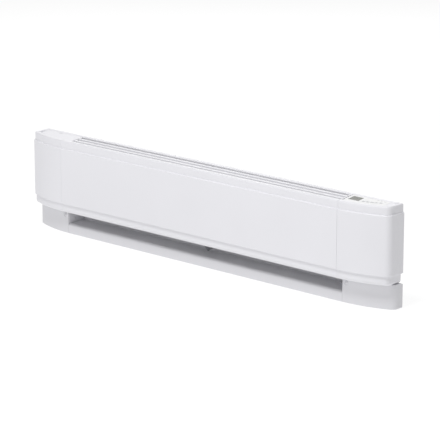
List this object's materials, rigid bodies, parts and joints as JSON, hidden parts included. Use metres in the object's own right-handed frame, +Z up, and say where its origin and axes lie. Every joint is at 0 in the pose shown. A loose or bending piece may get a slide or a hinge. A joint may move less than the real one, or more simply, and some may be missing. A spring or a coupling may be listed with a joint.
{
  "type": "electric baseboard heater",
  "caption": "Long low wall heater with rounded ends, an air inlet at its foot, a slotted air outlet on top, and a small display with push buttons at the right end.",
  "frame": {"origin": "centre of the heater's bounding box on the plane it stands on", "axes": "+X along the heater to the right seen from the room, +Y towards the wall, +Z up"},
  "size_m": [1.016, 0.07, 0.215],
  "materials": {
    "white_enamel": "satin baked enamel",
    "white_moulding": "fine satin moulding",
    "base_enamel": "satin baked enamel",
    "galvanised": "galvanised sheet",
    "zinc_screw": "zinc plated",
    "fin_aluminium": "mill",
    "sheath_steel": "annealed",
    "button_plastic": "satin",
    "overlay_film": "printed film",
    "display_cover": "clear cover over a dark display",
    "display_glass": "polished",
    "dark_plastic": "fine",
    "board_green": "solder mask",
    "relay_plastic": "moulded",
    "high_temp_moulding": "high-temperature moulding",
    "silicone": "matte",
    "copper_tube": "drawn",
    "lead_black": "insulated lead",
    "lead_red": "insulated lead"
  },
  "bodies": {
    "heater": {"front_panel": "white_enamel", "right_end_cap": "white_moulding", "left_end_cap": "white_moulding", "right_base_cap": "base_enamel", "left_base_cap": "base_enamel", "base_tray": "base_enamel", "rear_casing": "white_enamel", "knockout_slugs": "white_enamel", "right_bulkhead": "galvanised", "left_bulkhead": "galvanised", "right_end_bracket": "galvanised", "left_end_bracket": "galvanised", "grille_frame": "white_enamel", "louvre_blades": "white_enamel", "blade_combs": "galvanised", "left_deck_cover": "white_moulding", "control_panel": "white_moulding", "control_overlay": "overlay_film", "lcd_window": "display_cover", "lcd_glass": "display_glass", "lcd_frame": "dark_plastic", "tact_switches": "dark_plastic", "control_board": "board_green", "board_screws": "zinc_screw", "power_relays": "relay_plastic", "board_capacitor": "dark_plastic", "element_sheath": "sheath_steel", "element_pins": "sheath_steel", "element_fins": "fin_aluminium", "element_bushings": "silicone", "element_brackets": "galvanised", "centre_bracket": "galvanised", "bracket_rivets": "zinc_screw", "limit_capillary": "copper_tube", "capillary_clips": "galvanised", "limit_switch": "high_temp_moulding", "rear_reflector": "fin_aluminium", "front_baffle": "galvanised", "temperature_sensor": "dark_plastic", "terminal_block": "high_temp_moulding", "terminal_screws": "zinc_screw", "ground_screw": "zinc_screw", "supply_lead": "lead_black", "element_return_lead": "lead_red", "element_feed_lead": "lead_red", "limit_lead": "lead_black", "sensor_lead": "lead_black", "front_panel_screws": "zinc_screw", "end_cap_screws": "zinc_screw", "base_cap_screws": "zinc_screw"},
    "power_button": {"button_power": "button_plastic"},
    "mode_button": {"button_mode": "button_plastic"},
    "cooler_button": {"button_cooler": "button_plastic"},
    "warmer_button": {"button_warmer": "button_plastic"},
    "timer_button": {"button_timer": "button_plastic"}
  },
  "joints": [
    {"name": "power_press", "type": "slide", "parent": "heater", "child": "power_button", "axis": [0, 0.1305, -0.9914], "range_m": [0, 0.0006], "stiffness_N_per_m": 400},
    {"name": "mode_press", "type": "slide", "parent": "heater", "child": "mode_button", "axis": [0, 0.1305, -0.9914], "range_m": [0, 0.0006], "stiffness_N_per_m": 400},
    {"name": "cooler_press", "type": "slide", "parent": "heater", "child": "cooler_button", "axis": [0, 0.1305, -0.9914], "range_m": [0, 0.0006], "stiffness_N_per_m": 400},
    {"name": "warmer_press", "type": "slide", "parent": "heater", "child": "warmer_button", "axis": [0, 0.1305, -0.9914], "range_m": [0, 0.0006], "stiffness_N_per_m": 400},
    {"name": "timer_press", "type": "slide", "parent": "heater", "child": "timer_button", "axis": [0, 0.1305, -0.9914], "range_m": [0, 0.0006], "stiffness_N_per_m": 400}
  ]
}
